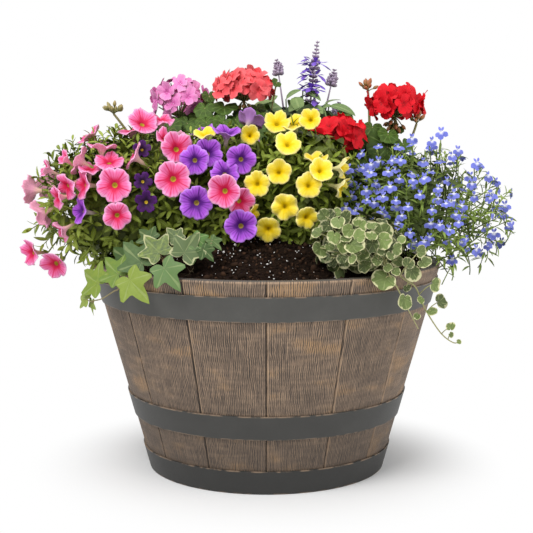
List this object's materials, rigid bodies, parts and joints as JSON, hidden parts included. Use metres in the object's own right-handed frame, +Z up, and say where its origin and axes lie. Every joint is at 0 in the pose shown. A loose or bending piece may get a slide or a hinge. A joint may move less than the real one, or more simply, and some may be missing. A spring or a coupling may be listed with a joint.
{
  "type": "barrel planter",
  "caption": "Tapered half-barrel tub of grained staves bound by dark flat hoops, filled with domed potting mix and a mixed flower planting whose plants lift out.",
  "frame": {"origin": "centre of the tub's foot on the floor, which is the centre of the overall box's underside to a few millimetres", "axes": "+X to the viewer's right across the front, +Y to the back, +Z up"},
  "size_m": [0.7151, 0.5358, 0.6471],
  "materials": {
    "stave_wood": "dark stain, combed grain with copper-brown dry-brushed highlights",
    "hoop_metal": "matte dark grey paint",
    "rivet_metal": "matte dark grey paint",
    "head_wood": "plain sawn boards",
    "potting_mix": "matt dark bark compost",
    "root_ball": "matt compost bound by roots",
    "petunia_leaf": "matt mid green leaves",
    "pink_petal": "matt pink petals",
    "violet_petal": "matt violet petals",
    "yellow_petal": "matt yellow petals",
    "lobelia_leaf": "matt fine green leaves",
    "blue_petal": "matt blue-violet petals",
    "geranium_leaf": "matt dark green leaves",
    "green_stalk": "matt light green stalks",
    "orchid_petal": "matt orchid-pink petals",
    "coral_petal": "matt coral petals",
    "red_petal": "matt red petals",
    "salvia_leaf": "matt grey-green leaves",
    "salvia_petal": "matt violet-blue flower whorls",
    "vine_stem": "matt brown-green stems",
    "ivy_leaf": "slightly glossy dark green leaves with pale veins",
    "creeper_leaf": "matt grey-green leaves with cream margins"
  },
  "bodies": {
    "tub": {"stave_01": "stave_wood", "stave_02": "stave_wood", "stave_03": "stave_wood", "stave_04": "stave_wood", "stave_05": "stave_wood", "stave_06": "stave_wood", "stave_07": "stave_wood", "stave_08": "stave_wood", "stave_09": "stave_wood", "stave_10": "stave_wood", "stave_11": "stave_wood", "stave_12": "stave_wood", "stave_13": "stave_wood", "stave_14": "stave_wood", "top_hoop": "hoop_metal", "middle_hoop": "hoop_metal", "base_hoop": "hoop_metal", "hoop_rivets": "rivet_metal", "head_board_left": "head_wood", "head_board_centre": "head_wood", "head_board_right": "head_wood", "head_dowels": "head_wood", "potting_mix": "potting_mix"},
    "petunias": {"pink_petunia_roots": "root_ball", "pink_petunia_foliage": "petunia_leaf", "pink_petunia_flowers": "pink_petal", "violet_petunia_roots": "root_ball", "violet_petunia_foliage": "petunia_leaf", "violet_petunia_flowers": "violet_petal", "yellow_petunia_roots": "root_ball", "yellow_petunia_foliage": "petunia_leaf", "yellow_petunia_flowers": "yellow_petal"},
    "lobelia": {"lobelia_roots": "root_ball", "lobelia_foliage": "lobelia_leaf", "lobelia_flowers": "blue_petal"},
    "orchid_geranium": {"orchid_geranium_roots": "root_ball", "orchid_geranium_leaves": "geranium_leaf", "orchid_geranium_stalks": "green_stalk", "orchid_geranium_flowers": "orchid_petal"},
    "coral_geranium": {"coral_geranium_roots": "root_ball", "coral_geranium_leaves": "geranium_leaf", "coral_geranium_stalks": "green_stalk", "coral_geranium_flowers": "coral_petal"},
    "red_geranium": {"red_geranium_roots": "root_ball", "red_geranium_leaves": "geranium_leaf", "red_geranium_stalks": "green_stalk", "red_geranium_flowers": "red_petal"},
    "salvia": {"salvia_roots": "root_ball", "salvia_leaves": "salvia_leaf", "salvia_spikes": "salvia_petal"},
    "ivy": {"ivy_roots": "root_ball", "ivy_stems": "vine_stem", "ivy_leaves": "ivy_leaf"},
    "creeper": {"creeper_roots": "root_ball", "creeper_foliage": "creeper_leaf", "creeper_stems": "vine_stem", "creeper_leaves": "creeper_leaf"}
  },
  "joints": [
    {"name": "petunias_lift", "type": "slide", "parent": "tub", "child": "petunias", "axis": [0, 0, 1], "range_m": [0, 0.4]},
    {"name": "lobelia_lift", "type": "slide", "parent": "tub", "child": "lobelia", "axis": [0, 0, 1], "range_m": [0, 0.4]},
    {"name": "orchid_geranium_lift", "type": "slide", "parent": "tub", "child": "orchid_geranium", "axis": [0, 0, 1], "range_m": [0, 0.4]},
    {"name": "coral_geranium_lift", "type": "slide", "parent": "tub", "child": "coral_geranium", "axis": [0, 0, 1], "range_m": [0, 0.4]},
    {"name": "red_geranium_lift", "type": "slide", "parent": "tub", "child": "red_geranium", "axis": [0, 0, 1], "range_m": [0, 0.4]},
    {"name": "salvia_lift", "type": "slide", "parent": "tub", "child": "salvia", "axis": [0, 0, 1], "range_m": [0, 0.4]},
    {"name": "ivy_lift", "type": "slide", "parent": "tub", "child": "ivy", "axis": [0, 0, 1], "range_m": [0, 0.4]},
    {"name": "creeper_lift", "type": "slide", "parent": "tub", "child": "creeper", "axis": [0, 0, 1], "range_m": [0, 0.4]}
  ]
}
